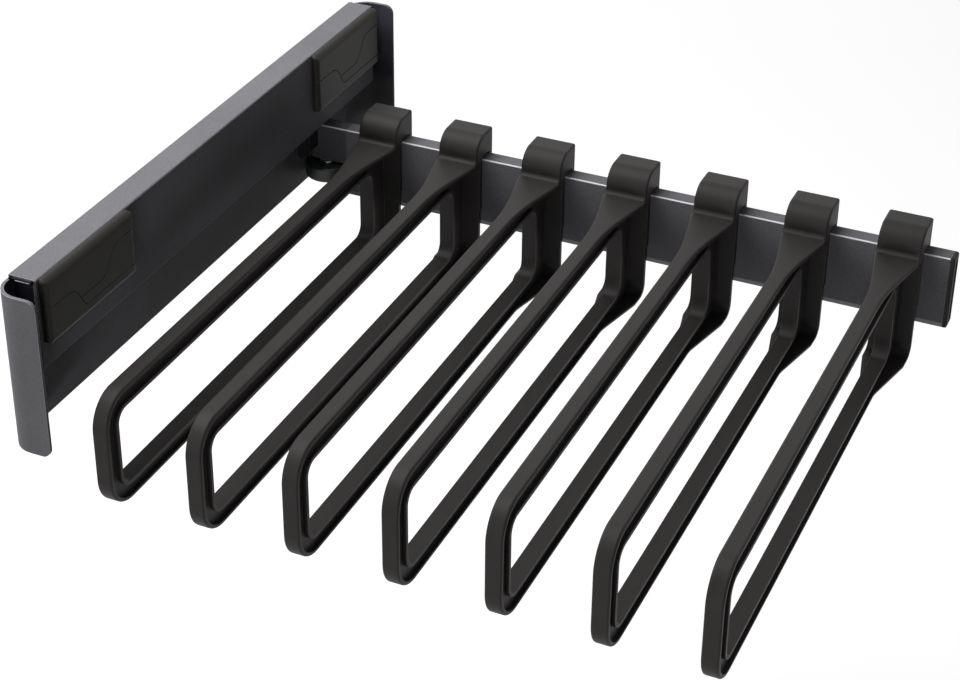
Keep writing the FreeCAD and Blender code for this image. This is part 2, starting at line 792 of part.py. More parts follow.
def make_axle(name, y):
    """Riveted axle: sunk head, journal, shoulder against the carriage, closed head behind."""
    journal = size("axle_bore") / 2
    left = WHEEL_X + 0.15
    right = WHEEL_X + size("wheel_width") + 0.15
    profile = [
        (left, 0, 0),
        (left, journal + 1.6, 0),
        (left + 0.9, journal + 1.6, 0),
        (left + 0.9, journal, 0),
        (right, journal, 0),
        (right, journal + 1.2, 0),
        (CARRIAGE_FACE, journal + 1.2, 0),
        (CARRIAGE_FACE, journal, 0),
        (CARRIAGE_BACK, journal, 0),
        (CARRIAGE_BACK, journal + 1.8, 0),
        (CARRIAGE_BACK + 1.2, journal + 1.2, 0),
        (CARRIAGE_BACK + 1.2, 0, 0),
    ]
    body = turned(name, "X", profile)
    body.Placement.Base = FreeCAD.Vector(0, y, 0)
    return body


def make_roller_tyre():
    """Tyre of the roller that props the loaded bar off the plate."""
    rim = size("roller_radius")
    core = size("roller_core")
    profile = [
        (ROLLER_BOTTOM, core, 0),
        (ROLLER_BOTTOM, rim, 1.4),
        (ROLLER_TOP, rim, 1.4),
        (ROLLER_TOP, core, 0),
    ]
    body = turned("roller_tyre", "Z", profile)
    body.Placement.Base = FreeCAD.Vector(ROLLER_X, ROLLER_Y, 0)
    return body


def make_roller_core():
    """Roller's hub, turning on the axle screw."""
    core = size("roller_core")
    bore = size("pin_bore") / 2 + size("running_gap")
    profile = [
        (ROLLER_BOTTOM, bore, 0),
        (ROLLER_BOTTOM, core, 0),
        (ROLLER_TOP, core, 0),
        (ROLLER_TOP, bore, 0),
    ]
    body = turned("roller_core", "Z", profile)
    body.Placement.Base = FreeCAD.Vector(ROLLER_X, ROLLER_Y, 0)
    return body


def make_roller_axle():
    """Shoulder screw up into the hub; its head carries the roller."""
    shank = size("pin_bore") / 2
    under = ROLLER_BOTTOM - size("roller_gap")
    profile = [
        (under - 3.0, 0, 0),
        (under - 3.0, shank + 3.0, 0.8),
        (under, shank + 3.0, 0),
        (under, shank, 0),
        (HUB_BOTTOM + size("pin_depth"), shank, 0),
        (HUB_BOTTOM + size("pin_depth"), 0, 0),
    ]
    body = turned("roller_axle", "Z", profile)
    body.Placement.Base = FreeCAD.Vector(ROLLER_X, ROLLER_Y, 0)
    return body


def spigot_outline():
    """Cross-section that fills the bar tube, less its fitting gap."""
    inset = size("bar_wall") + size("spigot_gap")
    radius = max(size("bar_corner") - inset, 0.3)
    return box_outline(
        BAR_FRONT + inset, BAR_REAR - inset, BAR_BOTTOM + inset, BAR_TOP - inset, radius
    )


def make_bar_hub():
    """Cast hub: a block as thick as the bar with a rounded end, a boss and a spigot."""
    body = new_body("bar_hub")
    end_round = size("bar_thick") / 2 - 0.1
    plan = [
        (HUB_LEFT, BAR_FRONT, end_round),
        (BAR_LEFT, BAR_FRONT, 0),
        (BAR_LEFT, BAR_REAR, 0),
        (HUB_LEFT, BAR_REAR, end_round),
    ]
    sketch = new_sketch(body, "Block", "XY_Plane", HUB_BOTTOM, rounded(plan))
    new_pad(body, sketch, "Sizes.hub_height")
    new_fillet(
        body,
        "Sizes.hub_corner",
        lambda e: e.BoundBox.ZLength < 1e-6 and not lies(e, x=at(BAR_LEFT)),
    )
    sketch = new_sketch(body, "Spigot", "YZ_Plane", BAR_LEFT, rounded(spigot_outline()))
    new_pad(body, sketch, "Sizes.spigot_length")
    axle_place = [(ROLLER_X, ROLLER_Y)]
    boss = [circle(a, b, size("boss_radius")) for a, b in axle_place]
    sketch = new_sketch(body, "Boss", "XY_Plane", HUB_BOTTOM - size("boss_height"), boss)
    new_pad(body, sketch, "Sizes.boss_height + Sizes.hub_corner")
    round_holes(
        body,
        "AxleHole",
        "XY_Plane",
        HUB_BOTTOM - size("boss_height"),
        axle_place,
        size("pin_bore") / 2,
        "Sizes.pin_depth + Sizes.boss_height",
        reversed_way=True,
    )
    round_holes(
        body,
        "ScrewHoles",
        "XZ_Plane",
        -BAR_REAR,
        BAR_SCREW_PLACES,
        size("bar_screw") / 2,
        "Sizes.bar_screw_depth",
        reversed_way=True,
    )
    return body


def make_bar_tube():
    """Flat steel tube, 50 by 12, that carries the arms."""
    body = new_body("bar_tube")
    wall = size("bar_wall")
    corner = size("bar_corner")
    outer = box_outline(BAR_FRONT, BAR_REAR, BAR_BOTTOM, BAR_TOP, corner)
    inner = box_outline(
        BAR_FRONT + wall,
        BAR_REAR - wall,
        BAR_BOTTOM + wall,
        BAR_TOP - wall,
        max(corner - wall, 0.3),
    )
    sketch = new_sketch(body, "Section", "YZ_Plane", BAR_LEFT, rounded(outer), rounded(inner))
    last_arm = f"Sizes.first_arm + {ARM_COUNT - 1} * Sizes.arm_pitch"
    new_pad(body, sketch, f"{last_arm} + Sizes.bar_overhang - Sizes.bar_start")
    round_holes(
        body,
        "ScrewHoles",
        "XZ_Plane",
        -BAR_REAR,
        BAR_SCREW_PLACES,
        size("bar_screw") / 2,
        "Sizes.bar_wall",
        reversed_way=True,
    )
    return body


def make_bar_screws():
    """Screws from behind, through the tube's wall and into the spigot."""
    screws = []
    for i, (x, z) in enumerate(BAR_SCREW_PLACES):
        radius = size("bar_screw") / 2
        profile = [
            (-size("bar_screw_depth"), 0, 0),
            (-size("bar_screw_depth"), radius, 0),
            (0, radius, 0),
            (0, radius + 1.7, 0),
            (1.8, radius + 1.2, 0),
            (1.8, 0, 0),
        ]
        screw = turned(f"BarScrew{i}", "Z", profile)
        screw.Placement = FreeCAD.Placement(
            FreeCAD.Vector(x, BAR_REAR, z), FreeCAD.Rotation(FreeCAD.Vector(1, 0, 0), -90)
        )
        screws.append(screw)
    return group("bar_screws", screws)


def make_bar_end_cap():
    """Moulded cap on the bar's free end: a domed flange and a plug inside the tube."""
    body = new_body("bar_end_cap")
    corner = size("bar_corner")
    reach = BAR_RIGHT
    flange = box_outline(BAR_FRONT, BAR_REAR, BAR_BOTTOM, BAR_TOP, corner)
    sketch = new_sketch(body, "Flange", "YZ_Plane", reach, rounded(flange))
    new_pad(body, sketch, "Sizes.cap_flange")
    outer = reach + size("cap_flange")
    new_fillet(body, "Sizes.cap_flange / 2", lambda e: lies(e, x=at(outer)))
    dish = box_outline(BAR_FRONT + 3.2, BAR_REAR - 3.2, BAR_BOTTOM + 3.2, BAR_TOP - 3.2, 2.0)
    sketch = new_sketch(body, "Dish", "YZ_Plane", outer, rounded(dish))
    new_pocket(body, sketch, "0.6")
    sketch = new_sketch(body, "Plug", "YZ_Plane", reach, rounded(spigot_outline()))
    new_pad(body, sketch, "Sizes.cap_plug", reversed_way=True)
    return body


# ---- trouser arms -----------------------------------------------------------------------
ARM_TOP = BAR_TOP + size("arm_rise")
ARM_BOTTOM = ARM_TOP - size("arm_height")
ARM_FRONT = PLATE_FRONT + size("arm_setback")
ARM_REAR = BAR_FRONT - size("slide_gap")
HOOK_START = BAR_FRONT - size("hook_front") - size("hook_crease") - 0.5


def loop_outline(depth, back):
    """The loop's outer outline moved inwards: depth all round, back at the rear."""
    tip = max(size("arm_tip_round") - depth, 1.0)
    heel = max(size("arm_heel_round") - depth, 1.0)
    return [
        (ARM_FRONT + depth, ARM_TOP - depth, tip),
        (ARM_REAR - back, ARM_TOP - depth, 0 if back == 0 else heel),
        (ARM_REAR - back, ARM_BOTTOM + depth, heel),
        (ARM_FRONT + depth, ARM_BOTTOM + depth, tip),
    ]


def opening_outline(depth):
    """The loop's opening, grown by depth."""
    band = size("arm_band")
    tip = size("arm_tip_round") - band + depth
    rear = ARM_REAR - size("arm_rear_band") + depth
    return [
        (ARM_FRONT + band - depth, ARM_TOP - band + depth, tip),
        (rear, ARM_TOP - band + depth, tip),
        (rear, ARM_BOTTOM + band - depth, tip),
        (ARM_FRONT + band - depth, ARM_BOTTOM + band - depth, tip),
    ]


def flare_sides(corners):
    """Two outlines in plan, one each side, of what is cut away beside a flared strip.

    The corners are (y, half width, radius) from the front to the back.
    """
    outside = size("hook_width")
    sides = []
    for sign in (-1, 1):
        outline = [(sign * half, y, radius) for y, half, radius in corners]
        outline.append((sign * outside, corners[-1][0], 0))
        outline.append((sign * outside, corners[0][0], 0))
        sides.append(rounded(outline))
    return sides


def top_flare():
    """The upper strip widens in a long curve until it is as wide as the hook."""
    half = size("arm_width") / 2
    wide = size("hook_width") / 2
    return [
        (ARM_FRONT - 5, half, 0),
        (BAR_FRONT - size("flare_length"), half, size("flare_bend")),
        (HOOK_START - 2.2, wide, size("flare_blend")),
        (HOOK_START, wide, 0),
    ]


def bottom_flare():
    """The lower strip widens into the back plate."""
    half = size("arm_width") / 2
    wide = size("hook_width") / 2
    return [
        (ARM_FRONT - 5, half, 0),
        (BAR_FRONT - size("heel_flare_length"), half, size("heel_flare_bend")),
        (BAR_FRONT - size("heel_flare_end"), wide - 0.7, size("heel_flare_bend") / 3),
        (BAR_REAR, wide - 0.3, 0),
    ]


def hook_outline():
    """Side view of the hook over the bar, down to the back plate it grows from."""
    gap = size("slide_gap")
    crest = BAR_TOP + size("hook_rise")
    front = BAR_FRONT - size("hook_front")
    behind = BAR_REAR + gap
    foot = BAR_TOP - size("hook_reach")
    root = ARM_TOP - size("arm_flange")
    return [
        (HOOK_START, root, 0),
        (HOOK_START, ARM_TOP, 0),
        (front, ARM_TOP, size("hook_crease")),
        (front, crest, size("hook_round")),
        (behind + size("hook_wall"), crest, 1),
        (behind + size("hook_wall"), foot, 2),
        (behind, foot, 1),
        (behind, BAR_TOP + gap, 0.5),
        (ARM_REAR, BAR_TOP + gap, 0),
        (ARM_REAR, root - 2, 0),
        (ARM_REAR - size("arm_back"), root - 2, 0),
        (ARM_REAR - size("arm_back"), root, 0),
    ]


def make_arm(number):
    """Moulded loop of I section, flared at the rear into a back plate and a hook."""
    body = new_body(f"trouser_arm_{number + 1}")
    outer = rounded(loop_outline(0, 0))
    flange = rounded(loop_outline(size("arm_flange"), size("arm_back")))
    opening = rounded(opening_outline(0))
    lip = rounded(opening_outline(size("arm_lip")))
    sketch = new_sketch(body, "Flange", "YZ_Plane", 0, outer, flange)
    new_pad(body, sketch, "Sizes.hook_width", both_ways=True)
    half_height = "Sizes.arm_height / 2 + 1"
    sketch = new_sketch(body, "TopFlare", "XY_Plane", ARM_TOP + 1, *flare_sides(top_flare()))
    new_pocket(body, sketch, half_height)
    sketch = new_sketch(
        body, "BottomFlare", "XY_Plane", ARM_BOTTOM - 1, *flare_sides(bottom_flare())
    )
    new_pocket(body, sketch, half_height, reversed_way=True)
    sketch = new_sketch(body, "Web", "YZ_Plane", 0, outer, opening)
    new_pad(body, sketch, "Sizes.arm_web", both_ways=True)
    sketch = new_sketch(body, "Lip", "YZ_Plane", 0, lip, opening)
    new_pad(body, sketch, "Sizes.arm_width", both_ways=True)
    sketch = new_sketch(body, "Hook", "YZ_Plane", 0, rounded(hook_outline()))
    new_pad(body, sketch, "Sizes.hook_width", both_ways=True)
    side = size("hook_width") / 2
    new_fillet(
        body,
        "Sizes.hook_edge",
        lambda e: lies_on_either_side(e, side) and lies(e, z=(BAR_TOP + 2, 0)),
    )
    body.setExpression("Placement.Base.x", f"Sizes.first_arm + {number} * Sizes.arm_pitch")
    return body


# ---- the whole rack ---------------------------------------------------------------------
def build():
    pieces = [
        make_wall_plate(),
        make_guide_rail(),
        make_rail_rivets(),
        make_rail_cover(),
        make_end_plug("front_end_plug", RAIL_FRONT, RAIL_FRONT - size("plug_length")),
        make_end_plug("rear_end_plug", *[RAIL_REAR + size("plug_length")] * 2),
        make_buffer("front_buffer", RAIL_FRONT + size("buffer_length")),
        make_buffer("rear_buffer", RAIL_REAR),
    ]
    pieces += make_pad("front")
    pieces += make_pad("rear")
    pieces += [
        make_carriage_plate(),
        group("wheel_axles", [make_axle("FrontAxle", FRONT_WHEEL_Y),
                              make_axle("RearAxle", REAR_WHEEL_Y)]),
        make_wheel("front_wheel", FRONT_WHEEL_Y),
        make_wheel("rear_wheel", REAR_WHEEL_Y),
        make_bar_hub(),
        make_roller_tyre(),
        make_roller_core(),
        make_roller_axle(),
        make_bar_tube(),
        make_bar_screws(),
        make_bar_end_cap(),
    ]
    pieces += [make_arm(number) for number in range(ARM_COUNT)]
    return pieces


def check(pieces):
    """Stops if any feature failed or any sub-part is empty or invalid."""
    for thing in doc.Objects:
        if {"Invalid", "Error"} & set(thing.State):
            raise ValueError(f"{thing.Name} failed: {thing.State}")
    for piece in pieces:
        if piece.Shape.isNull() or not piece.Shape.isValid():
            raise ValueError(f"{piece.Label} has no valid shape")


def export(pieces):
    os.makedirs("parts", exist_ok=True)
    for piece in pieces:
        piece.Shape.exportStep(f"parts/{piece.Label}.step")
        box = piece.Shape.BoundBox
        print(
            f"{piece.Label:20s} solids {len(piece.Shape.Solids)} volume {piece.Shape.Volume:10.1f}"
            f"  x {box.XMin:.2f}..{box.XMax:.2f} y {box.YMin:.2f}..{box.YMax:.2f}"
            f" z {box.ZMin:.2f}..{box.ZMax:.2f}"
        )


all_pieces = build()
doc.recompute()
check(all_pieces)
export(all_pieces)
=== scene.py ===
import bmesh
import bpy
import math
from mathutils import Matrix, Vector


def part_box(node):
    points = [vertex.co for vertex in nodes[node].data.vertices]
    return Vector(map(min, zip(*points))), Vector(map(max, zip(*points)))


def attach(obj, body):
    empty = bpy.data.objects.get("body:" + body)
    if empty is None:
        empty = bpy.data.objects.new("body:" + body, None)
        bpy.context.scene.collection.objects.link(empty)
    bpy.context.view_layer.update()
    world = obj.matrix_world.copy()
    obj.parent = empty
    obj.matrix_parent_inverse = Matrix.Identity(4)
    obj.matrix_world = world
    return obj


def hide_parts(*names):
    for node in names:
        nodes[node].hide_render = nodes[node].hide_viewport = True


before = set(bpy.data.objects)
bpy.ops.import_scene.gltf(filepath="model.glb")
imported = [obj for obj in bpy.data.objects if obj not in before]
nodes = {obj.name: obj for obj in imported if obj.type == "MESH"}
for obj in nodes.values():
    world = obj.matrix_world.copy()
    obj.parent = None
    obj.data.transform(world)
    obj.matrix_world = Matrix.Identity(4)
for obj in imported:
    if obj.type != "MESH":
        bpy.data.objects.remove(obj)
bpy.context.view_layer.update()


# ==== Camera =============================================================================
# A long lens above the rack and to the right of its front, which sees all seven arms. The
# shift places the rack in the picture without turning the camera.
def link_object(name, data):
    """Puts new data into the scene as an object."""
    item = bpy.data.objects.new(name, data)
    bpy.context.scene.collection.objects.link(item)
    return item


camera_data = bpy.data.cameras.new("Camera")
camera_data.lens = 81.53
camera_data.sensor_width = 36.0
camera_data.shift_x = 0.0356
camera_data.shift_y = -0.0839
camera_data.clip_end = 20.0
camera = link_object("Camera", camera_data)
camera.location = (0.65874, -1.04684, 0.64130)
camera.rotation_euler = (math.radians(59.78), 0.0, math.radians(24.86))
bpy.context.scene.camera = camera
bpy.context.scene.view_settings.view_transform = "Standard"


# ==== Studio =============================================================================
# A pale floor well below the rack and a white surround. The main lamp hangs above and to the
# left. Fainter ones fill the front from the left and from low down, and the back.
def linear(hex_code):
    """An sRGB hex colour as linear red, green, blue and alpha."""
    values = [int(hex_code[i:i + 2], 16) / 255 for i in (1, 3, 5)]
    red, green, blue = (
        value / 12.92 if value <= 0.04045 else ((value + 0.055) / 1.055) ** 2.4 for value in values
    )
    return (red, green, blue, 1.0)


def add_node(tree, kind, settings=None, **inputs):
    """Adds a node, sets its properties, and sets or links its inputs by name or number."""
    node = tree.nodes.new(kind)
    for name, value in (settings or {}).items():
        setattr(node, name, value)
    for name, value in inputs.items():
        key = int(name[1:]) if name[0] == "_" else name.replace("_", " ")
        if isinstance(value, bpy.types.NodeSocket):
            tree.links.new(value, node.inputs[key])
        else:
            node.inputs[key].default_value = value
    return node


def add_seen_factor(tree):
    """1 for rays that show the background to the eye: direct, mirrored or through glass."""
    path = add_node(tree, "ShaderNodeLightPath")
    direct = add_node(
        tree, "ShaderNodeMath", {"operation": "MAXIMUM"},
        _0=path.outputs["Is Camera Ray"], _1=path.outputs["Is Glossy Ray"],
    )
    seen = add_node(
        tree, "ShaderNodeMath", {"operation": "MAXIMUM"},
        _0=direct.outputs[0], _1=path.outputs["Is Transmission Ray"],
    )
    return seen.outputs[0]


def make_world():
    """Surround that is white to the eye and sheds only a little light on the rack."""
    world = bpy.data.worlds.new("Studio")
    world.use_nodes = True
    tree = world.node_tree
    tree.nodes.clear()
    soft = add_node(tree, "ShaderNodeBackground", Color=(1, 1, 1, 1), Strength=0.085)
    white = add_node(tree, "ShaderNodeBackground", Color=(1, 1, 1, 1), Strength=1.0)
    mix = add_node(
        tree, "ShaderNodeMixShader",
        _0=add_seen_factor(tree), _1=soft.outputs[0], _2=white.outputs[0],
    )
    add_node(tree, "ShaderNodeOutputWorld", Surface=mix.outputs[0])
    bpy.context.scene.world = world


def make_floor():
    """Floor that reads as white paper and still takes the rack's soft shadow."""
    material = bpy.data.materials.new("studio_paper")
    material.use_nodes = True
    tree = material.node_tree
    tree.nodes.clear()
    paper = add_node(tree, "ShaderNodeBsdfDiffuse", Color=linear("#b4b4b4"))
    glow = add_node(tree, "ShaderNodeEmission", Color=(1, 1, 1, 1), Strength=0.72)
    lit_paper = add_node(tree, "ShaderNodeAddShader", _0=paper.outputs[0], _1=glow.outputs[0])
    bounce = add_node(tree, "ShaderNodeBsdfDiffuse", Color=linear("#4a4a4a"))
    mix = add_node(
        tree, "ShaderNodeMixShader",
        _0=add_seen_factor(tree), _1=bounce.outputs[0], _2=lit_paper.outputs[0],
    )
    add_node(tree, "ShaderNodeOutputMaterial", Surface=mix.outputs[0])
    half = 9.0
    height = -0.55
    mesh = bpy.data.meshes.new("floor")
    corners = [(-half, -half), (half, -half), (half, half), (-half, half)]
    mesh.from_pydata([(x, y, height) for x, y in corners], [], [(0, 1, 2, 3)])
    mesh.materials.append(material)
    floor = link_object("floor", mesh)


def add_lamp(name, place, aim, size, power):
    """A rectangular lamp at a place, turned towards its aim."""
    data = bpy.data.lights.new(name, "AREA")
    data.shape = "RECTANGLE"
    data.size, data.size_y = size
    data.energy = power
    lamp = link_object(name, data)
    lamp.location = place
    lamp.rotation_euler = (Vector(aim) - Vector(place)).to_track_quat("-Z", "Y").to_euler()


make_world()
make_floor()
add_lamp("TopLamp", (-0.55, -0.05, 1.3), (0.2, 0.0, 0.0), (1.3, 1.3), 30)
add_lamp("FrontLeftLamp", (-0.9, -1.9, 0.55), (0.2, 0.0, 0.0), (1.4, 1.0), 9)
add_lamp("FrontLowLamp", (0.5, -1.7, -0.42), (0.35, 0.1, -0.06), (0.4, 0.2), 6)
add_lamp("RearLamp", (-0.8, 2.1, 0.3), (0.1, 0.0, 0.0), (2.0, 1.2), 8)


# ==== Wall plate =========================================================================
# One sheet of 2 mm steel, bent away from the wall at both ends and notched at its upper
# corners. It is powder coated in a satin graphite grey, and it carries everything else.
def dress(material, *names):
    """Gives CAD nodes their finish."""
    for name in names:
        for slot in nodes[name].material_slots:
            slot.material = material


def add_soft_edges(tree, radius):
    """Normal with the edges rounded off by a radius, and how close to an edge a place is."""
    bevel = add_node(tree, "ShaderNodeBevel", {"samples": 6}, Radius=radius)
    surface = add_node(tree, "ShaderNodeNewGeometry")
    facing = add_node(
        tree, "ShaderNodeVectorMath", {"operation": "DOT_PRODUCT"},
        _0=bevel.outputs["Normal"], _1=surface.outputs["Normal"],
    )
    # An edge begins where the rounded normal leans 8 degrees away from the surface's own
    # normal, a cosine of 0.99, and it is full at 37 degrees, a cosine of 0.8.
    edge = add_node(
        tree, "ShaderNodeMapRange", Value=facing.outputs["Value"], From_Min=0.99, From_Max=0.8
    )
    return bevel.outputs["Normal"], edge.outputs["Result"]


def add_tone(tree, pattern, start, stop, deep, pale):
    """A colour that goes from deep to pale while a pattern's value goes from start to stop."""
    share = add_node(
        tree, "ShaderNodeMapRange", Value=pattern, From_Min=start, From_Max=stop
    ).outputs["Result"]
    return add_node(
        tree, "ShaderNodeMixRGB", Fac=share, Color1=linear(deep), Color2=linear(pale)
    ).outputs["Color"]


def make_powder_coat(name, deep, pale, edge_highlight, stretch=(1.0, 1.0, 1.0), extra=None):
    """Satin powder coat on steel.

    The coat flows into a faint orange peel, and every edge is painted paler, a painted highlight.
    Slow clouds in tone and gloss are what oven-cured batches show.
    """
    material = bpy.data.materials.new(name)
    material.use_nodes = True
    tree = material.node_tree
    tree.nodes.clear()
    place = add_node(tree, "ShaderNodeTexCoord").outputs["Object"]
    drawn = add_node(tree, "ShaderNodeMapping", Vector=place, Scale=stretch).outputs[0]
    rounded, edge = add_soft_edges(tree, 0.0006)
    clouds = add_node(
        tree, "ShaderNodeTexNoise", Vector=drawn, Scale=14.0, Detail=4.0
    ).outputs["Fac"]
    tone = add_tone(tree, clouds, 0.35, 0.65, deep, pale)
    # Real powder grains are about 0.05 mm wide, too fine to show, so they are drawn 0.4 mm wide.
    flakes = add_node(
        tree, "ShaderNodeTexNoise", Vector=place, Scale=2600.0, Detail=1.0
    ).outputs["Fac"]
    speckle = add_tone(tree, flakes, 0.38, 0.62, "#d8d8da", "#ffffff")
    body = add_node(
        tree, "ShaderNodeMixRGB", {"blend_type": "MULTIPLY"}, Fac=1.0, Color1=tone, Color2=speckle
    )
    # Painted highlight: edges take the pale edge colour.
    colour = add_node(
        tree, "ShaderNodeMixRGB", Fac=edge, Color1=body.outputs[0], Color2=linear(edge_highlight)
    )
    shown = extra(tree, colour.outputs[0], rounded) if extra else colour.outputs[0]
    gloss = add_node(tree, "ShaderNodeMapRange", Value=clouds, To_Min=0.50, To_Max=0.62)
    # Real orange peel is 1 to 3 mm wide, so it is drawn at its true size.
    peel = add_node(
        tree, "ShaderNodeTexNoise", Vector=place, Scale=520.0, Detail=2.0
    ).outputs["Fac"]
    bump = add_node(
        tree, "ShaderNodeBump", Strength=0.10, Distance=0.0003, Height=peel, Normal=rounded
    )
    shader = add_node(
        tree, "ShaderNodeBsdfPrincipled", Base_Color=shown, Specular_IOR_Level=0.06,
        Roughness=gloss.outputs[0], Normal=bump.outputs[0],
    )
    add_node(tree, "ShaderNodeOutputMaterial", Surface=shader.outputs[0])
    return material


bend_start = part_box("wall_plate")[1][1] - 0.0205
bend_fade = 0.0020
cover_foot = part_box("rail_cover")[0][2]


def add_painted_bend_shade(tree, tone, rounded):
    """Painted shade: darkens the hollows of the bends, deep in the front bend and paler in the rear
    one.
    """
    place = add_node(tree, "ShaderNodeTexCoord").outputs["Object"]
    x, y, z = add_node(tree, "ShaderNodeSeparateXYZ", Vector=place).outputs
    surface = add_node(tree, "ShaderNodeNewGeometry").outputs["Normal"]
    look = add_node(tree, "ShaderNodeSeparateXYZ", Vector=surface).outputs
    # The hollow side of a flange looks along the plate. The web's end, which looks away from
    # the wall, counts too: 1 less 300 per metre stays over 0.05 up to 3.2 mm from the wall.
    sideways = add_node(
        tree, "ShaderNodeMath", {"operation": "MULTIPLY_ADD"}, _0=x, _1=-300.0, _2=look["X"]
    ).outputs[0]
    above = add_node(
        tree, "ShaderNodeMapRange", Value=z,
        From_Min=cover_foot - 0.0078, From_Max=cover_foot + 0.0042,
    ).outputs["Result"]
    # Painted shade: deep navy in the hollow of the front bend, paler in the rear one.
    for side, dark in ((-1.0, "#33323d"), (1.0, "#55545f")):
        along = add_node(
            tree, "ShaderNodeMath", {"operation": "MULTIPLY"}, _0=look["Y"], _1=-side
        ).outputs[0]
        inward = add_node(
            tree, "ShaderNodeMath", {"operation": "MAXIMUM"}, _0=along, _1=sideways
        ).outputs[0]
        shade = add_node(
            tree, "ShaderNodeMath", {"operation": "GREATER_THAN"}, _0=inward, _1=0.05
        ).outputs[0]
        beyond = add_node(
            tree, "ShaderNodeMapRange", Value=y,
            From_Min=side * bend_start, From_Max=side * (bend_start + bend_fade),
        ).outputs["Result"]
        for part in (beyond, above):
            shade = add_node(
                tree, "ShaderNodeMath", {"operation": "MULTIPLY"}, _0=shade, _1=part
            ).outputs[0]
        tone = add_node(
            tree, "ShaderNodeMixRGB", Fac=shade, Color1=tone, Color2=linear(dark)
        ).outputs[0]
    return tone


# The plate's coat gets painted shade in the hollows of its bends.
plate_coat = make_powder_coat(
    "powder_coated_sheet", "#7c7b7f", "#858488", "#dcdce0", extra=add_painted_bend_shade
)
dress(plate_coat, "wall_plate")


# ==== Guide rail and its rivets ==========================================================
# A rolled C of 1.5 mm steel behind the cover, zinc plated before it is riveted to the plate
# with four flush rivets. The wheels run inside it.
def make_zinc_plate(name, deep, pale, roughness):
    """Bright zinc plating: pale metal with a crystal mottle and long lines from drawing.

    Real crystals and drawing lines are under 0.1 mm wide, too fine to show. The mottle is
    drawn 2.4 mm wide and the lines 0.6 mm.
    """
    material = bpy.data.materials.new(name)
    material.use_nodes = True
    tree = material.node_tree
    tree.nodes.clear()
    place = add_node(tree, "ShaderNodeTexCoord").outputs["Object"]
    rounded, edge = add_soft_edges(tree, 0.0003)
    crystals = add_node(
        tree, "ShaderNodeTexVoronoi", Vector=place, Scale=420.0
    ).outputs["Distance"]
    tone = add_tone(tree, crystals, 0.1, 0.7, deep, pale)
    # Painted highlight: edges take a paler colour.
    colour = add_node(tree, "ShaderNodeMixRGB", Fac=edge, Color1=tone, Color2=linear("#dcdde0"))
    lines = add_node(tree, "ShaderNodeMapping", Vector=place, Scale=(1.0, 0.03, 1.0)).outputs[0]
    drawing = add_node(
        tree, "ShaderNodeTexNoise", Vector=lines, Scale=1800.0, Detail=2.0
    ).outputs["Fac"]
    gloss = add_node(
        tree, "ShaderNodeMapRange", Value=drawing, To_Min=roughness - 0.06, To_Max=roughness + 0.08
    )
    bump = add_node(
        tree, "ShaderNodeBump", Strength=0.08, Distance=0.0001, Height=drawing, Normal=rounded
    )
    shader = add_node(
        tree, "ShaderNodeBsdfPrincipled", Base_Color=colour.outputs[0], Metallic=1.0,
        Roughness=gloss.outputs[0], Normal=bump.outputs[0],
    )
    add_node(tree, "ShaderNodeOutputMaterial", Surface=shader.outputs[0])
    return material


zinc = make_zinc_plate("zinc_plated_steel", "#8e9094", "#b4b6ba", roughness=0.34)
dress(zinc, "guide_rail", "rail_rivets")


# ==== Cover over the rail ================================================================
# A folded angle of 1.8 mm steel, welded along the plate's upper edge so that it hides the
# rail and the screws. A dark weld bead with a lump at each end closes both its end edges.
cover_coat = make_powder_coat("powder_coated_cover", "#7c7b7f", "#858488", "#dcdce0")
dress(cover_coat, "rail_cover")


def bake_nodes(name, tree, base, values):
    """Runs a Geometry Nodes tree on a mesh and keeps the result as a plain mesh object."""
    source = link_object(name + "_source", base)
    modifier = source.modifiers.new("Nodes", "NODES")
    modifier.node_group = tree
    for item in tree.interface.items_tree:
        if item.item_type == "SOCKET" and item.in_out == "INPUT" and item.name in values:
            modifier[item.identifier] = values[item.name]
    graph = bpy.context.evaluated_depsgraph_get()
    mesh = bpy.data.meshes.new_from_object(source.evaluated_get(graph))
    source.modifiers.clear()
    bpy.data.objects.remove(source)
    return link_object(name, mesh)


def start_tree(name, **inputs):
    """Starts a Geometry Nodes tree, which takes a mesh and the named inputs to a mesh."""
    tree = bpy.data.node_groups.new(name, "GeometryNodeTree")
    for label, kind in {"Geometry": "Geometry", **inputs}.items():
        tree.interface.new_socket(label, in_out="INPUT", socket_type="NodeSocket" + kind)
    tree.interface.new_socket("Geometry", in_out="OUTPUT", socket_type="NodeSocketGeometry")
    return tree


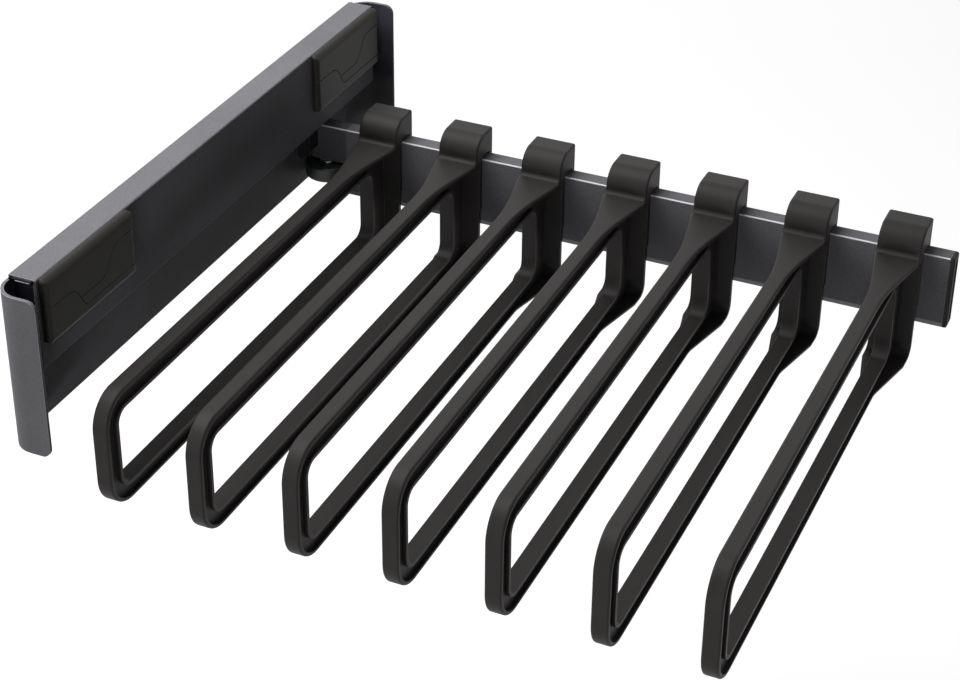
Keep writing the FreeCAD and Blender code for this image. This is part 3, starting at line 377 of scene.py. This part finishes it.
def make_bead_tree():
    """A weld bead along a line: a ridge that ripples and swells into a lump at both ends."""
    tree = start_tree(
        "WeldBead", Start="Vector", End="Vector", Radius="Float", Lump="Float", Material="Material"
    )
    given = add_node(tree, "NodeGroupInput").outputs
    line = add_node(
        tree, "GeometryNodeCurvePrimitiveLine", Start=given["Start"], End=given["End"]
    ).outputs[0]
    path = add_node(tree, "GeometryNodeResampleCurve", Curve=line, Count=41).outputs[0]
    share = add_node(tree, "GeometryNodeSplineParameter").outputs["Factor"]
    # Half a turn of a cosine over the line, raised to a high power, is 1 at both ends only.
    turn = add_node(
        tree, "ShaderNodeMath", {"operation": "MULTIPLY"}, _0=share, _1=math.pi
    ).outputs[0]
    wave = add_node(tree, "ShaderNodeMath", {"operation": "COSINE"}, _0=turn).outputs[0]
    width = add_node(tree, "ShaderNodeMath", {"operation": "POWER"}, _0=wave, _1=24.0).outputs[0]
    lump = add_node(
        tree, "ShaderNodeMath", {"operation": "MULTIPLY"}, _0=width, _1=given["Lump"]
    ).outputs[0]
    ripple = add_node(
        tree, "ShaderNodeTexNoise", {"noise_dimensions": "1D"}, W=share, Scale=34.0, Detail=1.0
    ).outputs["Fac"]
    uneven = add_node(
        tree, "ShaderNodeMapRange", Value=ripple, To_Min=0.85, To_Max=1.15
    ).outputs["Result"]
    thick = add_node(
        tree, "ShaderNodeMath", {"operation": "MULTIPLY_ADD"},
        _0=uneven, _1=given["Radius"], _2=lump,
    ).outputs[0]
    ring = add_node(tree, "GeometryNodeCurvePrimitiveCircle", Resolution=14, Radius=1.0).outputs[0]
    swept = add_node(
        tree, "GeometryNodeCurveToMesh", Curve=path, Profile_Curve=ring, Scale=thick, Fill_Caps=True
    ).outputs[0]
    smooth = add_node(tree, "GeometryNodeSetShadeSmooth", Geometry=swept).outputs[0]
    real = add_node(tree, "GeometryNodeRealizeInstances", Geometry=smooth).outputs[0]
    finished = add_node(
        tree, "GeometryNodeSetMaterial", Geometry=real, Material=given["Material"]
    ).outputs[0]
    add_node(tree, "NodeGroupOutput", Geometry=finished)
    return tree


weld_coat = make_powder_coat("coated_weld", "#1e1e22", "#26262a", "#3a3a3e")
bead_tree = make_bead_tree()
weld_base = bpy.data.meshes.new("weld_base")
cover_low, cover_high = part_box("rail_cover")[:2]
cover_sheet = 0.0018
weld_left = cover_low[0] + 0.0014
weld_right = cover_high[0] - cover_sheet
weld_height = cover_high[2] - 0.0015
front_weld_y = cover_low[1] - 0.0007
rear_weld_y = cover_high[1] + 0.0006
# Under each bead shows a thin bright lip of zinc, a painted highlight along the cover's end edge.
lip_left = weld_left + 0.0031
lip_right = weld_right - 0.0020
lip_height = weld_height - 0.0010
lip_inset = 0.0002
for end, side, weld_y in (("front", -1.0, front_weld_y), ("rear", 1.0, rear_weld_y)):
    bead = bake_nodes(
        f"cover_weld_{end}", bead_tree, weld_base,
        {
            "Start": (weld_left, weld_y, weld_height), "End": (weld_right, weld_y, weld_height),
            "Radius": 0.0004, "Lump": 0.0010, "Material": weld_coat,
        },
    )
    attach(bead, "wall_unit")
    lip_y = weld_y - lip_inset * side
    lip = bake_nodes(
        f"cover_lip_{end}", bead_tree, weld_base,
        {
            "Start": (lip_left, lip_y, lip_height), "End": (lip_right, lip_y, lip_height),
            "Radius": 0.0004, "Lump": 0.0, "Material": zinc,
        },
    )
    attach(lip, "wall_unit")


# ==== End plugs ==========================================================================
# Solid mouldings in black polyamide that fill both ends of the cover and hold its face off
# the plate. Only their outer faces show, in the bend of each flange.
def make_moulded_plastic(
    name, deep, pale, edge_highlight, grain, roughness, gloss_level, edge_radius=0.0005, extra=None
):
    """Moulded plastic or rubber with an eroded texture. The grain is its pits per metre.

    Spark erosion leaves the mould finely pitted, so the plastic scatters light and looks matt.
    Edges are painted paler, a painted highlight, and the tone drifts a little with flow.
    Real pits are under 0.1 mm wide, too fine to show, so they are drawn 0.5 to 1 mm wide.
    """
    material = bpy.data.materials.new(name)
    material.use_nodes = True
    tree = material.node_tree
    tree.nodes.clear()
    place = add_node(tree, "ShaderNodeTexCoord").outputs["Object"]
    rounded, edge = add_soft_edges(tree, edge_radius)
    flow = add_node(
        tree, "ShaderNodeTexNoise", Vector=place, Scale=22.0, Detail=3.0, Distortion=0.6
    ).outputs["Fac"]
    tone = add_tone(tree, flow, 0.35, 0.65, deep, pale)
    # Painted highlight: edges take the pale edge colour.
    colour = add_node(tree, "ShaderNodeMixRGB", Fac=edge, Color1=tone, Color2=linear(edge_highlight))
    shown = extra(tree, colour.outputs[0]) if extra else colour.outputs[0]
    pits = add_node(
        tree, "ShaderNodeTexNoise", Vector=place, Scale=grain, Detail=3.0
    ).outputs["Fac"]
    gloss = add_node(
        tree, "ShaderNodeMapRange", Value=flow, To_Min=roughness - 0.05, To_Max=roughness + 0.05
    )
    bump = add_node(
        tree, "ShaderNodeBump", Strength=0.08, Distance=0.0002, Height=pits, Normal=rounded
    )
    shader = add_node(
        tree, "ShaderNodeBsdfPrincipled", Base_Color=shown,
        Specular_IOR_Level=gloss_level, Roughness=gloss.outputs[0], Normal=bump.outputs[0],
    )
    add_node(tree, "ShaderNodeOutputMaterial", Surface=shader.outputs[0])
    return material


plug_plastic = make_moulded_plastic(
    "black_polyamide", "#2b2a33", "#33323c", "#8a8a92",
    grain=1500.0, roughness=0.5, gloss_level=0.3,
)
dress(plug_plastic, "front_end_plug", "rear_end_plug")


# ==== Buffers ============================================================================
# Soft rubber pins, cut from cord and pushed into the plugs' inner faces. They stop the
# carriage at both ends of its way, and they are duller than the plugs.
buffer_rubber = make_moulded_plastic(
    "buffer_rubber", "#1c1b1a", "#242322", "#2c2b2a",
    grain=900.0, roughness=0.75, gloss_level=0.35,
)
dress(buffer_rubber, "front_buffer", "rear_buffer")


# ==== Pads over the screws ===============================================================
# Mouldings in brown-black plastic, clipped into the cover with pegs. An S-shaped groove runs
# where the three mouldings of each pad meet.
def add_painted_groove_shade(tree, tone):
    """Painted shade: the colour darkens where ambient occlusion finds the surface closed in, so the
    narrow groove reads as a crisp dark line.
    """
    open_share = add_node(
        tree, "ShaderNodeAmbientOcclusion", {"samples": 8, "only_local": True}, Distance=0.0016
    ).outputs["AO"]
    depth = add_node(
        tree, "ShaderNodeMapRange", Value=open_share, From_Min=0.95, From_Max=0.62
    ).outputs["Result"]
    return add_node(
        tree, "ShaderNodeMixRGB", Fac=depth, Color1=tone, Color2=linear("#0b0a09")
    ).outputs[0]


# The pads get painted shade in their grooves.
pad_plastic = make_moulded_plastic(
    "eroded_pad_plastic", "#262422", "#2c2a28", "#45423f",
    grain=1700.0, roughness=0.58, gloss_level=0.22, extra=add_painted_groove_shade,
)
for end in ("front", "rear"):
    dress(pad_plastic, *[f"{end}_pad_{part}" for part in ("upper", "lower", "insert")])


# ==== Carriage plate =====================================================================
# A stamped steel plate behind the cover that carries both wheel axles. Its ear hangs out
# below the cover, and the hub is welded through a slot in it.
carriage_coat = make_powder_coat("powder_coated_carriage", "#333236", "#3a393d", "#6b6a6e")
dress(carriage_coat, "carriage_plate")
dress(zinc, "wheel_axles")


# ==== Wheels =============================================================================
# Two natural nylon wheels, turned from bar, that run on the carriage's steel axles inside
# the rail. Nylon is milky and lets a little light in.
def make_nylon(name):
    """Natural nylon: ivory white, waxy, with slow tone changes from moisture."""
    material = bpy.data.materials.new(name)
    material.use_nodes = True
    tree = material.node_tree
    tree.nodes.clear()
    place = add_node(tree, "ShaderNodeTexCoord").outputs["Object"]
    rounded, edge = add_soft_edges(tree, 0.0004)
    clouds = add_node(
        tree, "ShaderNodeTexNoise", Vector=place, Scale=90.0, Detail=3.0
    ).outputs["Fac"]
    tone = add_tone(tree, clouds, 0.3, 0.7, "#cfc9b8", "#dcd8ca")
    colour = add_node(tree, "ShaderNodeMixRGB", Fac=edge, Color1=tone, Color2=linear("#b5ae9c"))
    bump = add_node(
        tree, "ShaderNodeBump", Strength=0.1, Distance=0.0001, Height=clouds, Normal=rounded
    )
    shader = add_node(
        tree, "ShaderNodeBsdfPrincipled", Base_Color=colour.outputs[0], Roughness=0.42,
        Subsurface_Weight=0.2, Subsurface_Scale=0.002, Normal=bump.outputs[0],
    )
    add_node(tree, "ShaderNodeOutputMaterial", Surface=shader.outputs[0])
    return material


dress(make_nylon("natural_nylon"), "front_wheel", "rear_wheel")


# ==== Bar hub ============================================================================
# A cast steel block as thick as the bar, welded through the carriage plate. Its spigot fills the
# bar's left end, and the casting's coat is drawn darker than the bar's, a painted shade.
bar_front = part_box("bar_tube")[0][1]
bar_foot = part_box("bar_tube")[0][2]


def add_painted_bar_highlights(tree, tone, rounded):
    """Painted highlights: a near-white line along the bar's upper front corner and a paler band
    along its foot.
    """
    facing = add_node(
        tree, "ShaderNodeVectorMath", {"operation": "DOT_PRODUCT"},
        _0=rounded, _1=(0.0, -0.707, 0.707),
    ).outputs["Value"]
    corner = add_node(
        tree, "ShaderNodeMapRange", Value=facing, From_Min=0.86, From_Max=0.97
    ).outputs["Result"]
    place = add_node(tree, "ShaderNodeTexCoord").outputs["Object"]
    height = add_node(tree, "ShaderNodeSeparateXYZ", Vector=place).outputs["Z"]
    foot = add_node(
        tree, "ShaderNodeMapRange", Value=height,
        From_Min=bar_foot + 0.0036, From_Max=bar_foot + 0.0030, To_Max=0.55,
    ).outputs["Result"]
    # Painted highlights: a pale foot band and a near-white corner line.
    for share, colour in ((foot, "#b8b7bb"), (corner, "#ececf0")):
        tone = add_node(
            tree, "ShaderNodeMixRGB", Fac=share, Color1=tone, Color2=linear(colour)
        ).outputs[0]
    return tone


# Painted shade: the hub's coat is a darker copy of the bar's, and it takes the same painted
# highlights.
hub_coat = make_powder_coat(
    "powder_coated_casting", "#5a595d", "#656468", "#656468", extra=add_painted_bar_highlights
)
dress(hub_coat, "bar_hub")

# Two short upright weld beads stand on the carriage plate's ear, in front of the hub.
ear_low, ear_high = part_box("carriage_plate")[:2]
ear_weld_x = ear_high[0] + 0.0002
ear_weld_y = bar_front - 0.0126
ear_weld_length = 0.0062
for number, foot in enumerate((ear_low[2] - 0.0024, ear_low[2] + 0.0070), start=1):
    bead = bake_nodes(
        f"ear_weld_{number}", bead_tree, weld_base,
        {
            "Start": (ear_weld_x, ear_weld_y, foot),
            "End": (ear_weld_x, ear_weld_y, foot + ear_weld_length),
            "Radius": 0.0009, "Lump": 0.0, "Material": carriage_coat,
        },
    )
    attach(bead, "carriage")


# ==== Support roller =====================================================================
# A polyurethane tyre cast on a plastic core, turning on a zinc-plated shoulder screw. It
# leans on the plate below the cover and takes the weight of the trousers.
tyre = make_moulded_plastic(
    "cast_polyurethane", "#1f2321", "#262a28", "#3a403c",
    grain=1100.0, roughness=0.45, gloss_level=0.4,
)
dress(tyre, "roller_tyre")
core_plastic = make_moulded_plastic(
    "black_acetal", "#18191a", "#1e1f20", "#303132",
    grain=1900.0, roughness=0.4, gloss_level=0.4,
)
dress(core_plastic, "roller_core")


def turn_profile(name, profile, material, matrix):
    """A turned fastener from (radius, height, corners) rings; six corners make a socket."""
    steps = 48
    shape = bmesh.new()
    rings = []
    for radius, height, corners in profile:
        ring = []
        for step in range(steps):
            angle = 2 * math.pi * step / steps
            reach = radius
            if corners:
                sector = math.pi / corners
                off_flat = (angle + sector) % (2 * sector) - sector
                reach = radius * math.cos(sector) / math.cos(off_flat)
            place = (reach * math.cos(angle), reach * math.sin(angle), height)
            ring.append(shape.verts.new(place))
        rings.append(ring)
    for lower, upper in zip(rings, rings[1:]):
        for step in range(steps):
            after = (step + 1) % steps
            shape.faces.new((lower[step], lower[after], upper[after], upper[step]))
    shape.faces.new(reversed(rings[0]))
    shape.faces.new(rings[-1])
    bmesh.ops.recalc_face_normals(shape, faces=shape.faces)
    mesh = bpy.data.meshes.new(name)
    shape.to_mesh(mesh)
    shape.free()
    mesh.transform(matrix)
    mesh.materials.append(material)
    for face in mesh.polygons:
        face.use_smooth = True
    mesh.set_sharp_from_angle(angle=math.radians(35))
    return mesh


# The shoulder screw stands on its head. Its rings go from its upper end down to the socket,
# with heights in metres above the head's lower face.
axle_low, axle_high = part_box("roller_axle")[:2]
axle_x = (axle_low[0] + axle_high[0]) / 2
axle_y = (axle_low[1] + axle_high[1]) / 2
axle_end = axle_high[2] - axle_low[2] - 0.0001
head_height = 0.0030
axle_rings = [
    (0.0034, axle_end, 0), (0.0040, axle_end - 0.0006, 0), (0.0040, head_height, 0),
    (0.0054, head_height, 0), (0.0060, head_height - 0.0005, 0), (0.0060, 0.0008, 0),
    (0.0055, 0.0002, 0), (0.0047, 0.0, 0), (0.0029, 0.0, 0), (0.0027, 0.0001, 6),
    (0.0025, 0.0003, 6), (0.0025, 0.0024, 6), (0.0012, 0.0028, 6),
]
axle_place = Matrix.Translation((axle_x, axle_y, axle_low[2]))
axle = link_object(
    "shoulder_screw", turn_profile("shoulder_screw", axle_rings, zinc, axle_place)
)
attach(axle, "carriage")
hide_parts("roller_axle")

# A polished thrust washer fills the slit between the hub and the roller and glints there.
polished_zinc = make_zinc_plate("polished_zinc", "#d0d1d4", "#e2e3e6", roughness=0.16)
washer_height = 0.0009
washer_rings = [
    (0.0046, 0.0, 0), (0.0059, 0.0, 0), (0.0063, 0.00025, 0),
    (0.0063, washer_height - 0.00025, 0), (0.0059, washer_height, 0), (0.0046, washer_height, 0),
]
tyre_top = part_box("roller_tyre")[1][2]
washer_place = Matrix.Translation((axle_x, axle_y, tyre_top + 0.00015))
washer = link_object(
    "thrust_washer", turn_profile("thrust_washer", washer_rings, polished_zinc, washer_place)
)
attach(washer, "carriage")


# ==== Bar ================================================================================
# A flat steel tube of 50 by 12 mm, cut square, with the sheet parts' grey powder coat. The
# coat keeps the faint long lines of the drawn tube.
# The bar gets painted highlights along its upper front corner and its foot.
bar_coat = make_powder_coat(
    "powder_coated_tube", "#6a696d", "#767579", "#767579", stretch=(0.12, 1.0, 1.0),
    extra=add_painted_bar_highlights,
)
dress(bar_coat, "bar_tube")

# Two button-head screws go through the tube's rear wall into the hub's spigot. Their rings
# go from the tip to the socket, with heights in metres from the tube's rear face.
screw_low, screw_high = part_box("bar_screws")[:2]
bar_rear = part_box("bar_tube")[1][1]
screw_tip = screw_low[1] - bar_rear
head_radius = (screw_high[2] - screw_low[2]) / 2
screw_pitch = screw_high[0] - screw_low[0] - 2 * head_radius
screw_rings = [
    (0.0025, screw_tip, 0), (0.0025, 0.0, 0), (head_radius, 0.0, 0),
    (head_radius, 0.0004, 0), (0.93 * head_radius, 0.0009, 0), (0.78 * head_radius, 0.0013, 0),
    (0.60 * head_radius, 0.0016, 0), (0.45 * head_radius, 0.0018, 0),
    (0.0016, 0.0017, 6), (0.0015, 0.0015, 6), (0.0015, 0.0004, 6), (0.0008, 0.0002, 6),
]
screw_height = (screw_low[2] + screw_high[2]) / 2
first_screw = (
    Matrix.Translation((screw_low[0] + head_radius, bar_rear, screw_height))
    @ Matrix.Rotation(math.radians(-90), 4, "X")
)


def make_row_tree():
    """Repeats the given piece in a row."""
    tree = start_tree("Row", Count="Int", Pitch="Vector", Material="Material")
    given = add_node(tree, "NodeGroupInput").outputs
    places = add_node(
        tree, "GeometryNodeMeshLine", {"mode": "OFFSET"},
        Count=given["Count"], Offset=given["Pitch"],
    ).outputs[0]
    copies = add_node(
        tree, "GeometryNodeInstanceOnPoints", Points=places, Instance=given["Geometry"]
    ).outputs[0]
    real = add_node(tree, "GeometryNodeRealizeInstances", Geometry=copies).outputs[0]
    finished = add_node(
        tree, "GeometryNodeSetMaterial", Geometry=real, Material=given["Material"]
    ).outputs[0]
    add_node(tree, "NodeGroupOutput", Geometry=finished)
    return tree


screws = bake_nodes(
    "button_head_screws", make_row_tree(),
    turn_profile("button_head_screw", screw_rings, zinc, first_screw),
    {"Count": 2, "Pitch": (screw_pitch, 0.0, 0.0), "Material": zinc},
)
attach(screws, "carriage")
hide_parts("bar_screws")


# ==== Bar end cap ========================================================================
# A dark moulded cap pressed into the bar's free end. Its rounded rim is painted pale, a painted
# highlight, and painted shade darkens the foot of the rim.
cap_plastic = make_moulded_plastic(
    "black_cap_plastic", "#272626", "#2d2c2c", "#a8a8aa",
    grain=1500.0, roughness=0.55, gloss_level=0.12, edge_radius=0.0004, extra=add_painted_groove_shade,
)
dress(cap_plastic, "bar_end_cap")


# ==== Trouser arms =======================================================================
# Seven moulded loops of glass-filled plastic in a warm brown-black, hooked over the bar.
# Their outer faces are finely eroded, so that trousers don't slip.
def add_painted_flank_light(tree, tone):
    """Painted light: faces that look sideways, the flanks between the flanges, are drawn paler."""
    normal = add_node(tree, "ShaderNodeTexCoord").outputs["Normal"]
    sideways = add_node(tree, "ShaderNodeSeparateXYZ", Vector=normal).outputs["X"]
    slope = add_node(tree, "ShaderNodeMath", {"operation": "ABSOLUTE"}, _0=sideways).outputs[0]
    flank = add_node(
        tree, "ShaderNodeMapRange", Value=slope, From_Min=0.90, From_Max=0.99
    ).outputs["Result"]
    return add_node(
        tree, "ShaderNodeMixRGB", Fac=flank, Color1=tone, Color2=linear("#3a3635")
    ).outputs[0]


# The arms get painted light on their sideways faces.
arm_plastic = make_moulded_plastic(
    "eroded_arm_plastic", "#1e1c1b", "#242120", "#625d58",
    grain=1700.0, roughness=0.55, gloss_level=0.2, extra=add_painted_flank_light,
)
dress(arm_plastic, *[name for name in nodes if name.startswith("trouser_arm")])
